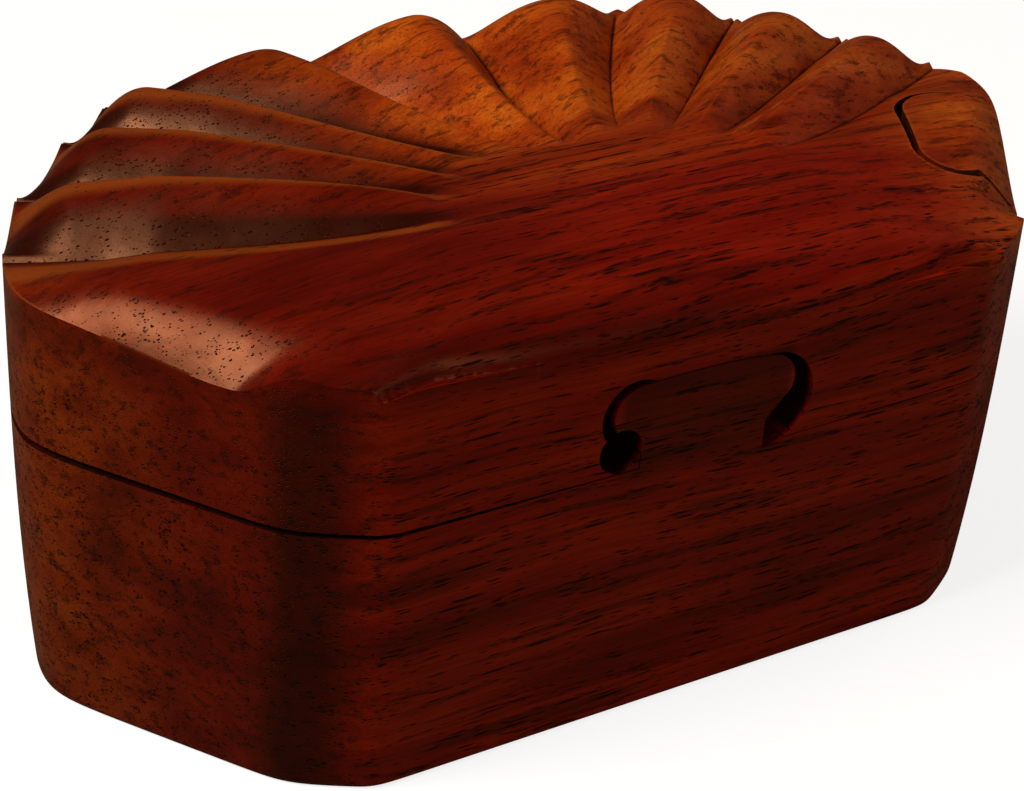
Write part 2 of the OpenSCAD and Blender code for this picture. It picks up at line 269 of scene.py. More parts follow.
def top_grid(st, shares):
    """Points of the carved top: a ring for each share of the way to the wall, a point for each station."""
    number, across, outer, inner = st
    first = number == 0
    last = number == RIBS - 1
    front = (number == RIBS)[None, :]
    lobe = (first | last)[None, :]
    wall = reach(outer, RIM_Z)
    start = rib_start(outer)[None, :]
    r = shares[:, None] * wall[None, :]
    out = (r - start) / (wall[None, :] - start)
    q = np.clip((r - start) / np.maximum(1, wall - start), 0, 1)
    a = mix(inner[None, :], outer[None, :], np.clip(out, 0, 1))
    x = r * np.cos(a)
    y = FAN_Y + r * np.sin(a)
    # low is 0 on a rib's crest and 1 in its grooves; the lobes' front halves have no groove
    plain = (first & (across < 0)) | (last & (across > 0))
    peak = np.where(lobe[0], 0, -CREST_SKEW * number / (RIBS - 2))
    power = np.where(lobe, LOBE_POWER, mix(*RIB_POWER, smooth(2 * q - 1)))
    low = (np.abs(across - peak) / np.where(across < peak, 1 + peak, 1 - peak))[None, :] ** power
    low = np.where(plain[None, :], 0, low)
    side = np.where(lobe[0], 0, smooth((np.abs(number - (RIBS - 1) / 2) - 1) / 3))[None, :]
    arch = SIDE_ARCH * side * (1 - low) * np.sin(math.pi * q ** ARCH_POWER)
    # fall runs from 0 at a lobe's groove to 1 at its front
    fall = np.where(first, (1 - across) / 2, np.where(last, (1 + across) / 2, 0))[None, :]
    drop = np.where(lobe, (LOBE_DROP * (1 - low) + LOBE_FALL * smooth(fall)) * q, 0)
    body = (crest(x, q * (1 - smooth(fall))) + arch - groove_at(outer, q) * low
            - shoulder_drop(x, y, 0) - drop)
    # the rounded nose at the wall, down to the scalloped edge
    scoop = np.where(lobe, LOBE_END * fall + LOBE_BELLY * np.sin(math.pi * fall * fall),
                     SCALLOP * (1 - across ** 2)[None, :])
    edge = np.minimum(body, EXIT_Z - scoop)
    nose = np.where(lobe, NOSE_LEN * mix(*NOSE_SHARE, fall), NOSE_LEN)
    t = np.clip((wall[None, :] - r) / nose, 0, 1)
    z_rib = body - (body - edge) * (1 - t) ** 2 * (1 - smooth(4 * fall - 3))
    # the plain front turns the corner, except where it meets the lobes
    deg = np.degrees(outer)
    away = smooth(np.minimum(deg - 180 - LOBE_FRONT, 360 - LOBE_FRONT - deg) / FRONT_BLEND)[None, :]
    away = np.where(front, away, 0)
    z_front = PLATEAU_Z - shoulder_drop(x, y, away) - (LOBE_DROP + LOBE_FALL) * (1 - away) * q
    z = np.minimum(np.where(front, z_front, z_rib) + lean_at(x, y), TOP_Z)
    return np.stack([x, y, z], -1)


def wall_ring(st, z, inset=0.0):
    """A ring of points on the wall at height z, which is one number or one for each station."""
    a = st[2]
    r = reach(a, z, inset)
    return np.stack([r * np.cos(a), FAN_Y + r * np.sin(a), np.full_like(r, z)], -1)


# ---------------------------------------------------------------- mesh helpers
def mesh_from(name, verts_mm, faces):
    me = bpy.data.meshes.new(name)
    me.from_pydata([tuple(v) for v in np.asarray(verts_mm) * MM], [], faces)
    me.update()
    obj = bpy.data.objects.new(name, me)
    bpy.context.scene.collection.objects.link(obj)
    return obj


def skin(name, centre, rings):
    """A closed skin over rings of points, from the top ring to the bottom ring."""
    m = len(rings)
    n = len(rings[0])
    faces = [(0, 1 + i, 1 + (i + 1) % n) for i in range(n)]
    for j in range(m - 1):
        for i in range(n):
            a = 1 + j * n + i
            b = 1 + j * n + (i + 1) % n
            faces.append((a, a + n, b + n, b))
    faces.append(tuple(1 + (m - 1) * n + i for i in reversed(range(n))))
    return mesh_from(name, np.concatenate([[centre]] + list(rings)), faces)


def tube(name, rings):
    """A closed tube over rings of the same number of points, with flat ends."""
    m = len(rings)
    n = len(rings[0])
    faces = [tuple(reversed(range(n)))]
    for j in range(m - 1):
        for i in range(n):
            a = j * n + i
            b = j * n + (i + 1) % n
            faces.append((a, b, b + n, a + n))
    faces.append(tuple(range((m - 1) * n, m * n)))
    return mesh_from(name, np.concatenate(rings), faces)


def prism(name, outline, lo, hi, axis="y"):
    """A prism over a 2D outline: along y (outline in x, z) or along z (outline in x, y)."""
    p = np.array(outline, float)
    area = 0.5 * np.sum(p[:, 0] * np.roll(p[:, 1], -1) - np.roll(p[:, 0], -1) * p[:, 1])
    if area < 0:
        p = p[::-1]
    if axis == "y":
        return tube(name, [[(u, hi, v) for u, v in p], [(u, lo, v) for u, v in p]])
    return tube(name, [[(u, v, lo) for u, v in p], [(u, v, hi) for u, v in p]])


def turned(name, profile, x0, sides=64):
    """A round bar along the pin's axis, over a profile of (place past x0, radius)."""
    t = np.arange(sides) / sides * 2 * math.pi
    rings = [np.stack([np.full(sides, x0 + x), PIN_Y + r * np.cos(t), PARTING_Z + PIN_Z + r * np.sin(t)], -1)
             for x, r in profile]
    return tube(name, rings)


def circle(c, r, n=96):
    t = np.arange(n) / n * 2 * math.pi
    return np.stack([c[0] + r * np.cos(t), c[1] + r * np.sin(t)], -1)


def arc(c, r, a0, a1, n=40):
    t = np.radians(np.linspace(a0, a1, n + 1))
    return [(c[0] + r * math.cos(u), c[1] + r * math.sin(u)) for u in t]


def bezier(p0, p1, p2, p3, n=24):
    """Points of a cubic curve from p0 to p3, without its ends."""
    out = []
    for i in range(1, n):
        t = i / n
        share = ((1 - t) ** 3, 3 * t * (1 - t) ** 2, 3 * t * t * (1 - t), t ** 3)
        out.append(tuple(sum(s * p[j] for s, p in zip(share, (p0, p1, p2, p3))) for j in (0, 1)))
    return out


def hull(points):
    """The convex outline round 2D points."""
    pts = sorted(map(tuple, points))

    def half(seq):
        out = []
        for p in seq:
            while len(out) > 1 and ((out[-1][0] - out[-2][0]) * (p[1] - out[-2][1])
                                    - (out[-1][1] - out[-2][1]) * (p[0] - out[-2][0])) <= 0:
                out.pop()
            out.append(p)
        return out[:-1]

    return half(pts) + half(pts[::-1])


def combine(obj, other, op):
    """Applies a boolean and removes the second object."""
    mod = obj.modifiers.new("b", "BOOLEAN")
    mod.operation = op
    mod.object = other
    mod.solver = "MANIFOLD"
    deps = bpy.context.evaluated_depsgraph_get()
    me = bpy.data.meshes.new_from_object(obj.evaluated_get(deps))
    obj.modifiers.clear()
    old = obj.data
    obj.data = me
    bpy.data.meshes.remove(old)
    bpy.data.objects.remove(other)
    return obj


# ---------------------------------------------------------------- jigsaw profile
# Outlines are in x and height over the parting line.
HEAD_LEFT = (-HEAD_W / 2 + HEAD_R + 0.2, TAB_H - HEAD_R - 0.4)
HEAD_RIGHT = (HEAD_W / 2 - HEAD_R - 0.6, TAB_H - HEAD_R - 0.9)
HEAD_VOID = (HEAD_LEFT[0] - 0.9, HEAD_LEFT[1])
HEAD_VOID_R = HEAD_R + 1
RELIEF = (-NECK_W / 2 - RELIEF_R, RELIEF_R + 0.6)
NECK_LEFT_H = 3
NECK_RIGHT_H = 2.6
NECK_SUNK = -4
SLOT_R = 7.0
SLOT_C = (HEAD_RIGHT[0] + HEAD_R + SLOT_W - SLOT_R, 5.3)
SLOT_FOOT = (SLOT_C[0] + 2, SLOT_C[1] - SLOT_R + 0.7)
PIN_X = SLOT_C[0] + SLOT_R + 0.3
PIN_Y = FRONT_Y + WALL / 2 + 0.6
LID_BORE = (PIN_X - 2.3, PIN_X + PIN_LEN + 0.5)
TAB_BORE = (PIN_X - PIN_TRAVEL - 1, PIN_X - 0.3)
SAW_RISE = 0.4  # how far the sawn line rises beside the tab
FAR = 150.0
DEEP = -60.0
THROUGH = 90.0  # a cutter through the depth of the box reaches this far both ways


def up(points):
    return [(x, z + PARTING_Z) for x, z in points]


def tab_outline(grow=0.0):
    """The tab: a neck, two round ends and the sawn arch between them, as one smooth curve."""
    r = HEAD_R + grow
    left = arc(HEAD_LEFT, r, 215, 95)
    right = arc(HEAD_RIGHT, r, 80, -25)
    arch = bezier(left[-1], (-HEAD_W * 0.12, TAB_H + grow), (HEAD_W * 0.18, TAB_H + grow), right[0])
    neck_left = [(-NECK_W / 2 - grow, NECK_SUNK), (-NECK_W / 2 - grow, NECK_LEFT_H)]
    neck_right = [(NECK_W / 2 + grow, NECK_RIGHT_H), (NECK_W / 2 + grow, NECK_SUNK)]
    return neck_left + left + arch + right + neck_right


def below_outline(lift_left, lift_right):
    """Everything under the sawn parting line."""
    return [(-FAR, DEEP), (-FAR, lift_left), (-HALF_W, lift_left), (RELIEF[0], SAW_RISE + lift_right),
            (SLOT_FOOT[0] - 4, SAW_RISE + lift_right), (SLOT_FOOT[0], SLOT_FOOT[1] + lift_right),
            (HALF_W, lift_right), (FAR, lift_right), (FAR, DEEP)]


def cut_through(obj, outline, op="DIFFERENCE", over=0.0):
    """Cuts an outline in the jigsaw's plane through the whole depth of the box."""
    return combine(obj, prism("cutter", up(outline), -THROUGH - over, THROUGH + over), op)


# ---------------------------------------------------------------- corner key, in plan
SIDE_N = np.array(SIDE_EDGE[:2])
SIDE_T = np.array([-SIDE_N[1], SIDE_N[0]])
# the key's front edge: how far behind KEY_FRONT it lies, at a depth from the side face
STEM_FRONT = [(2.6, KEY_DEPTH - TIP_R - 4.5), (2.2, 3), (1.4, -6)]
CUT_TOP = 120.0


def side_place(along, inwards):
    """A place in plan, from the front corner of the side face."""
    return SIDE_FRONT + along * SIDE_T - inwards * SIDE_N


def key_outlines(grow=0.0, tight=0.0):
    rear = KEY_FRONT + KEY_LEN
    tongue = (rear - TONGUE_R - grow / 2, KEY_DEPTH - TONGUE_R + grow / 2)
    bulb = hull(np.concatenate([
        circle(side_place(KEY_FRONT + TIP_R, KEY_DEPTH - TIP_R - 1), TIP_R + grow, 64),
        circle(side_place(*tongue), TONGUE_R + tight + grow / 2, 120)]))
    stem = [side_place(KEY_FRONT + behind - grow, depth) for behind, depth in STEM_FRONT]
    stem += [side_place(rear + tight, STEM_FRONT[-1][1]), side_place(rear + tight, tongue[1]),
             side_place(KEY_FRONT + TIP_R, KEY_DEPTH - TIP_R)]
    return bulb, stem


def key_prism(lo, grow=0.0, tight=0.0):
    bulb, stem = key_outlines(grow, tight)
    return combine(prism("cutter", bulb, lo, CUT_TOP, "z"), prism("stem", stem, lo, CUT_TOP, "z"), "UNION")


# ---------------------------------------------------------------- the carved blocks
# points across a rib, across a lobe and along the front
STATIONS = stations(60, 130, 260)
# rings of the top, as shares of the way to the wall, closer where the carving turns
SHARES = np.concatenate([np.linspace(0.03, 0.25, 12)[:-1], np.linspace(0.25, 0.85, 50)[:-1],
                         np.linspace(0.85, 0.97, 24)[:-1], np.linspace(0.97, 1.0, 9)])
BLOCK_LOW = PARTING_Z - 6
SHARP_SAWN = 38  # degrees between faces at which an edge stays sharp


def carved_block(name):
    """The block under the carved top, down to below the parting line."""
    rings = list(top_grid(STATIONS, SHARES))
    top_z = rings[-1][:, 2]
    for t in np.linspace(0, 1, 12)[1:]:
        rings.append(wall_ring(STATIONS, mix(top_z, BLOCK_LOW, t)))
    centre = (0, FAN_Y, rings[0][:, 2].mean())
    return skin(name, centre, rings)


def plain_block(name, high):
    """The block's lower part, with the sanded edge round its foot."""
    rings = [wall_ring(STATIONS, z) for z in np.linspace(high, FOOT_R + 0.01, 12)]
    for a in np.radians(np.linspace(0, 90, 9)):
        rings.append(wall_ring(STATIONS, FOOT_R * (1 - math.sin(a)), FOOT_R * (1 - math.cos(a)) * 0.8))
    return skin(name, (0, FAN_Y, high), rings)


def finish_mesh(obj, body, node, sharp=SHARP_SAWN):
    """Smooth shading with sharp sawn edges; rides on its body and stands for its CAD node."""
    bm = bmesh.new()
    bm.from_mesh(obj.data)
    bmesh.ops.remove_doubles(bm, verts=bm.verts, dist=2e-6)
    for f in bm.faces:
        f.smooth = True
    for e in bm.edges:
        e.smooth = len(e.link_faces) == 2 and e.calc_face_angle(0) < math.radians(sharp)
    bm.to_mesh(obj.data)
    bm.free()
    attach(obj, body)
    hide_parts(node)
    return obj


def pin_bore(x0, x1):
    r = PIN_D / 2 + PIN_CLEAR
    return turned("cutter", [(0, r), (x1 - x0, r)], x0)


def make_lid():
    lid = carved_block("shell_lid_carved")
    cut_through(lid, below_outline(KERF_LEFT, KERF_TIGHT))
    cut_through(lid, circle(RELIEF, RELIEF_R))
    cut_through(lid, circle(HEAD_VOID, HEAD_VOID_R))
    cut_through(lid, circle(SLOT_C, SLOT_R))
    cut_through(lid, tab_outline(KERF_TIGHT))
    combine(lid, key_prism(PARTING_Z - 10, KEY_GAP, KERF_TIGHT), "DIFFERENCE")
    combine(lid, pin_bore(*LID_BORE), "DIFFERENCE")
    return finish_mesh(lid, "lid", "shell_lid")


def make_key():
    key = carved_block("corner_key_carved")
    combine(key, key_prism(PARTING_Z + KERF_TIGHT), "INTERSECT")
    return finish_mesh(key, "key", "corner_key")


def slab_space():
    """A big block whose top is the sloping glued joint, as a cutter."""
    f = 200
    outline = [(-f, -f), (f, -f), (f, SLAB_MID + SLAB_SLOPE * f), (-f, SLAB_MID - SLAB_SLOPE * f)]
    return prism("cutter", outline, -f, f)


def make_base():
    base = plain_block("base_body_sawn", PARTING_Z + TAB_H + 3)
    profile = prism("profile", up(below_outline(0, 0)), -THROUGH, THROUGH)
    cut_through(profile, circle(HEAD_VOID, HEAD_VOID_R), over=1)
    cut_through(profile, circle(SLOT_C, SLOT_R), over=1)
    cut_through(profile, tab_outline(), "UNION")
    cut_through(profile, circle(RELIEF, RELIEF_R), over=1)
    combine(base, profile, "INTERSECT")
    combine(base, slab_space(), "DIFFERENCE")
    a = np.radians(np.arange(0, 360, 1.5))
    r = reach(a, PARTING_Z, CAVITY_IN)
    hollow = np.stack([r * np.cos(a), FAN_Y + r * np.sin(a)], -1)
    combine(base, prism("cutter", hollow, 1, 100, "z"), "DIFFERENCE")
    combine(base, pin_bore(*TAB_BORE), "DIFFERENCE")
    return finish_mesh(base, "base", "base_body")


def make_slab():
    slab = plain_block("bottom_slab_glued", SLAB_LEFT + 6)
    combine(slab, slab_space(), "INTERSECT")
    return finish_mesh(slab, "base", "bottom_slab")


# ---------------------------------------------------------------- felt and pin
# the felt's section, as (distance in from its edge, height over the slab): a rounded edge, a worn middle
FELT_SECTION = [(24.0, 1.12), (14.0, 1.1), (6.0, 1.14), (2.0, 1.18), (0.8, 1.16), (0.25, 1.0), (0.0, 0.7),
                (0.0, 0.0)]
FELT_CLEAR = 0.85
# the pin's section, as (place along it, radius less than the pin's)
PIN_SECTION = [(0, 0.5), (0.15, 0.18), (0.45, 0), (PIN_LEN / 2, 0), (PIN_LEN - 0.45, 0),
               (PIN_LEN - 0.15, 0.18), (PIN_LEN, 0.5)]


def make_felt():
    """The felt on the cavity's floor: a soft sheet with a rounded, slightly fuzzy edge."""
    a = np.radians(np.arange(0, 360, 2.0))
    rings = []
    for inset, h in FELT_SECTION:
        r = reach(a, PARTING_Z, CAVITY_IN + FELT_CLEAR + inset)
        wave = 0.03 * np.sin(7 * a + inset) * (inset > 0.5)
        x = r * np.cos(a)
        y = FAN_Y + r * np.sin(a)
        rings.append(np.stack([x, y, SLAB_MID + SLAB_SLOPE * x + h + wave], -1))
    felt = skin("floor_felt_sheet", (0, FAN_Y, SLAB_MID + 1.1), rings)
    return finish_mesh(felt, "base", "floor_felt", 60)


def make_pin():
    """A loose round pin with small rounded ends."""
    pin = turned("lock_pin_turned", [(x, PIN_D / 2 - less) for x, less in PIN_SECTION], PIN_X)
    return finish_mesh(pin, "pin", "lock_pin", 30)


lid = make_lid()
key = make_key()
base = make_base()
slab = make_slab()
felt = make_felt()
pin = make_pin()


# ---------------------------------------------------------------- node helpers
def srgb(r, g, b):
    """Linear colour from 0-255 display values."""
    return tuple(v / 255 / 12.92 if v <= 10 else ((v / 255 + 0.055) / 1.055) ** 2.4 for v in (r, g, b))


class Nodes:
    """Small helper to write a node tree briefly. Values are numbers, colours or sockets."""

    def __init__(self, tree):
        self.tree = tree

    def new(self, kind, **settings):
        node = self.tree.nodes.new(kind)
        for key, value in settings.items():
            setattr(node, key, value)
        return node

    def link(self, a, b):
        self.tree.links.new(a, b)

    def put(self, socket, value):
        if hasattr(value, "links"):
            self.link(value, socket)
        else:
            socket.default_value = value

    def math(self, op, a, b=0.0):
        node = self.new("ShaderNodeMath", operation=op)
        self.put(node.inputs[0], a)
        self.put(node.inputs[1], b)
        return node.outputs[0]

    def product(self, first, *others):
        for other in others:
            first = self.math("MULTIPLY", first, other)
        return first

    def most(self, first, *others):
        for other in others:
            first = self.math("MAXIMUM", first, other)
        return first

    def vmath(self, op, a, b):
        node = self.new("ShaderNodeVectorMath", operation=op)
        self.put(node.inputs[0], a)
        self.put(node.inputs[1], b)
        return node.outputs["Value"] if op in ("DOT_PRODUCT", "DISTANCE") else node.outputs[0]

    def split(self, vec):
        node = self.new("ShaderNodeSeparateXYZ")
        self.link(vec, node.inputs[0])
        return node.outputs

    def scaled(self, vec, scale, shift=(0, 0, 0)):
        node = self.new("ShaderNodeMapping")
        self.link(vec, node.inputs["Vector"])
        node.inputs["Scale"].default_value = scale
        node.inputs["Location"].default_value = shift
        return node.outputs[0]

    def noise(self, vec, scale, detail, rough=0.5):
        """Noise over a place in mm, with a scale per mm along x, y and z."""
        node = self.new("ShaderNodeTexNoise", noise_dimensions="3D")
        self.link(self.scaled(vec, scale), node.inputs["Vector"])
        node.inputs["Scale"].default_value = 1.0
        node.inputs["Detail"].default_value = detail
        node.inputs["Roughness"].default_value = rough
        return node.outputs[0]

    def cells(self, vec):
        node = self.new("ShaderNodeTexVoronoi", voronoi_dimensions="3D", feature="F1")
        self.link(vec, node.inputs["Vector"])
        node.inputs["Scale"].default_value = 1.0
        node.inputs["Randomness"].default_value = 1.0
        return node

    def ramp(self, value, stops):
        node = self.new("ShaderNodeValToRGB")
        node.color_ramp.interpolation = "LINEAR"
        elements = node.color_ramp.elements
        while len(elements) < len(stops):
            elements.new(0.5)
        for element, (place, colour) in zip(elements, stops):
            element.position = place
            element.color = (*srgb(*colour), 1)
        self.link(value, node.inputs[0])
        return node.outputs[0]

    def span(self, value, low, high, out_low=0.0, out_high=1.0, kind="SMOOTHSTEP"):
        """out_low where the value is at low or beyond, out_high where it is at high or beyond."""
        node = self.new("ShaderNodeMapRange", interpolation_type=kind)
        self.put(node.inputs["Value"], value)
        for key, x in (("From Min", low), ("From Max", high), ("To Min", out_low), ("To Max", out_high)):
            node.inputs[key].default_value = x
        return node.outputs[0]

    def blend(self, share, a, b):
        node = self.new("ShaderNodeMix", data_type="RGBA")
        self.put(node.inputs[0], share)
        self.put(node.inputs[6], a if hasattr(a, "links") else (*a, 1))
        self.put(node.inputs[7], b if hasattr(b, "links") else (*b, 1))
        return node.outputs[2]

    def bump(self, height, strength):
        node = self.new("ShaderNodeBump")
        node.inputs["Strength"].default_value = strength
        node.inputs["Distance"].default_value = MM
        self.link(height, node.inputs["Height"])
        return node.outputs[0]


def new_material(name, kind):
    """A material with nothing but a shader of this kind."""
    mat = bpy.data.materials.new(name)
    mat.use_nodes = True
    mat.node_tree.nodes.clear()
    n = Nodes(mat.node_tree)
    shader = n.new(kind)
    n.link(shader.outputs[0], n.new("ShaderNodeOutputMaterial").inputs[0])
    return mat, n, shader


# ---------------------------------------------------------------- lacquered wood: where each look lies
# A zone is a list of (axis, where the mask is 0, where it is 1), and its mask is the product of the spans.
# The axes are Place's attributes. Places and distances are in mm.
RIB_ZONE = (("z", 55, 60), ("y", -22, 10))
RIGHT_TOP_ZONE = (("x", 36, 66), ("z", 50, 60))
LEFT_TIP_ZONE = (("x", -60, -75),)
FAN_ZONE = (("away", 21, 30), ("z", 49, 51), ("y", -31, -26), ("up", 0.25, 0.45))
LEFT_CARVING_ZONE = (("x", -30, -50), ("z", 48, 52))
# where painted shade darkens the left half of the top
LEFT_TOP_SHADE_ZONE = (("x", 2, -34), ("z", 54, 59))
CORNER_BAND_ZONE = (("x", -44, -52), ("x", -59, -54.5), ("y", -26, -33), ("z", 60, 56))
# where painted shade lies on the tab's face under the lid's edge
TAB_SHADE_ZONE = (("beside", 13.5, 12), ("z", 52.4, 51.6), ("z", 36, 41), ("y", -30, -35))
# where painted shade lies on the left end
LEFT_END_SHADE_ZONE = (("x", -48, -58), ("z", 60, 57))
# sawn faces in the slot, along the parting line and round the key, darkened nearly black, partly their own
# colour and partly painted shade
SLOT_ZONE = (("deep", 42.2, 41.0), ("beside", 22, 20), ("z", 38.4, 39), ("z", 54, 53))
PARTING_ZONE = (("level", 0.9, 0.97), ("off_parting", 1.4, 1.0))
KEY_KERF_ZONE = (("behind_side", 0.9, 1.6), ("x", 46, 50), ("x", 74.6, 73.8), ("y", -36, -34), ("y", 4, 1),
                 ("z", 38.4, 39.0), ("level", 0.30, 0.15))

# display colours, 0-255
RED_BANDS = [(0.30, (72, 6, 2)), (0.45, (106, 11, 2)), (0.58, (124, 22, 3)), (0.74, (86, 8, 2))]
TAN_BANDS = [(0.30, (122, 36, 4)), (0.47, (166, 64, 8)), (0.62, (186, 88, 16)), (0.76, (136, 42, 5))]
STREAK = srgb(34, 5, 3)
FINE_STREAK = srgb(40, 6, 3)
# painted shade in the grooves
PAINTED_GROOVE_SHADE = srgb(22, 4, 3)
# painted highlight on the crests, partly rubbed wear
CREST_HIGHLIGHT = srgb(156, 76, 24)
RIB_SHADE = srgb(40, 5, 2)
# painted shade on the foot of each left rib, and a painted highlight on the edge of the next
RIB_FOOT_SHADE = srgb(16, 4, 2)
RIB_EDGE_HIGHLIGHT = srgb(156, 74, 22)
CORNER_BAND = srgb(20, 4, 3)
# painted shade on the tab's face
TAB_SHADE = srgb(22, 4, 3)
# painted shade on the left end
LEFT_END_SHADE = srgb(20, 5, 2)
# sawn faces: partly their own colour, partly painted shade in the kerfs
SAWN_AND_KERF_SHADE = srgb(12, 4, 3)
# painted shade on the left half of the top
LEFT_TOP_SHADE = srgb(44, 4, 1)
PORE = srgb(20, 4, 2)
SHEEN = (1.0, 0.42, 0.20, 1)

# noise scales, per mm along x (the grain), y and z
BEND_SCALE = (0.012, 0.03, 0.03)
BROAD_SCALE = (0.012, 0.10, 0.12)
FINE_SCALE = (0.035, 0.8, 0.8)
HAIR_SCALE = (0.06, 3.4, 3.4)
CLOUD_SCALE = (0.03, 0.05, 0.06)
GLOSS_SCALE = (0.2, 0.2, 0.2)
WAVE_SCALE = (0.07, 0.13, 0.13)
GRIT_SCALE = (1.6, 3.0, 3.0)

# pores: length and width of their cells in mm, size as a share of a cell, finer on the carving or not
PORES = ((7.0, 0.60, 0.32, True), (4.5, 0.46, 0.28, True), (10.0, 0.85, 0.26, True), (3.0, 0.36, 0.31, False))
PORE_SHIFT = np.array([3.1, 1.7, 0.9])

LEFT_GROOVES = 4  # how many of the left grooves, counted from the front, have painted shade behind them and a painted highlight on the edge in front
RIB_R = 60.0  # distances across the left ribs are measured at this radius


class Place:
    """Where a shaded point lies on the box at rest, in mm."""

    def __init__(self, n):
        self.n = n
        geometry = n.new("ShaderNodeNewGeometry").outputs
        self.object = n.new("ShaderNodeTexCoord").outputs["Object"]
        self.point = n.scaled(self.object, (1 / MM,) * 3)
        self.x, self.y, self.z = n.split(self.point)
        self.up = n.split(geometry["Normal"])[2]
        self.pointiness = geometry["Pointiness"]
        self.beside = n.math("ABSOLUTE", self.x)
        self.deep = n.math("ABSOLUTE", self.y)
        self.level = n.math("ABSOLUTE", self.up)
        self.off_parting = n.math("ABSOLUTE", n.math("SUBTRACT", self.z, PARTING_Z + SAW_RISE))
        self.away = n.vmath("DISTANCE", n.scaled(self.point, (1, 1, 0)), (0, FAN_Y, 0))
        along_side = n.vmath("DOT_PRODUCT", n.vmath("SUBTRACT", self.point, (0, FAN_Y, 0)), (*SIDE_N, 0))
        self.behind_side = n.math("SUBTRACT", SIDE_EDGE[2], along_side)

    def zone(self, limits):
        return self.n.product(*[self.n.span(getattr(self, axis), none, full) for axis, none, full in limits])


def worn_mask(n, at, cloud):
    """Where the red lacquer is worn to orange-brown: the ribs, the right end and a little of the left."""
    ribs = n.product(at.zone(RIB_ZONE), n.span(at.x, -42, 2, 0.05, 1.0))
    right = n.product(n.most(at.zone(RIGHT_TOP_ZONE), n.span(at.x, 62, 70, 0, 0.8)), 0.9)
    left = n.product(at.zone(LEFT_TIP_ZONE), n.span(at.z, 50, 56, 0.45, 0.2))
    return n.product(n.most(ribs, right, left), n.span(cloud, 0.25, 0.7, 0.6, 1.0))


def left_grooves(n, at, fan, base):
    """Painted shade on the flank and foot of each left rib behind a groove, and a painted highlight on the
    edge of the rib in front of it.
    """
    phi = n.math("ARCTAN2", n.math("SUBTRACT", at.y, FAN_Y), n.math("MULTIPLY", at.x, -1.0))
    for inner, outer in list(zip(GROOVE_IN, GROOVE_LEFT))[:LEFT_GROOVES]:
        a = math.radians(180 - outer)
        groove = n.span(at.away, float(rib_start(a)), float(reach(a, RIM_Z)),
                        math.radians(inner), math.radians(outer), "LINEAR")
        front = n.product(n.math("SUBTRACT", groove, phi), RIB_R)
        behind = n.product(n.span(front, 1.5, 0.5), fan)
        # painted shade on the rib behind the groove, then a painted highlight on the edge in front of it
        base = n.blend(n.product(n.span(front, -8.5, -4, 0, 0.5), behind), base, RIB_SHADE)
        base = n.blend(n.product(n.span(front, -5, -3, 0, 0.9), behind), base, RIB_FOOT_SHADE)
        edge = n.product(n.span(front, 1.6, 2.6, 0, 0.8), n.span(front, 6.4, 4.4), fan)
        base = n.blend(edge, base, RIB_EDGE_HIGHLIGHT)
    return base


def pore_mask(n, grain, fine, carving):
    """Open pores: dashes along the grain, dots on end grain, thicker where the fine bands are."""
    gate = n.span(fine, 0.36, 0.60, 0.3, 1.0)
    smaller = n.span(carving, 0.0, 1.0, 1.0, 0.5)
    pores = []
    for k, (length, width, size, shrinks) in enumerate(PORES):
        cell = n.cells(n.scaled(grain, (1 / length, 1 / width, 1 / width), tuple(k * PORE_SHIFT)))
        chance = n.new("ShaderNodeSeparateColor")
        n.link(cell.outputs["Color"], chance.inputs[0])
        limit = n.product(gate, size, n.span(chance.outputs[0], 0.15, 1.0, 0.55, 1.25, "LINEAR"))
        if shrinks:
            limit = n.product(limit, smaller)
        distance = n.math("DIVIDE", cell.outputs["Distance"], n.math("MAXIMUM", limit, 0.01))
        kept = n.math("GREATER_THAN", chance.outputs[1], 0.15)
        pores.append(n.product(n.span(distance, 0.55, 1.15, 1.0, 0.0), kept))
    return n.most(*pores)


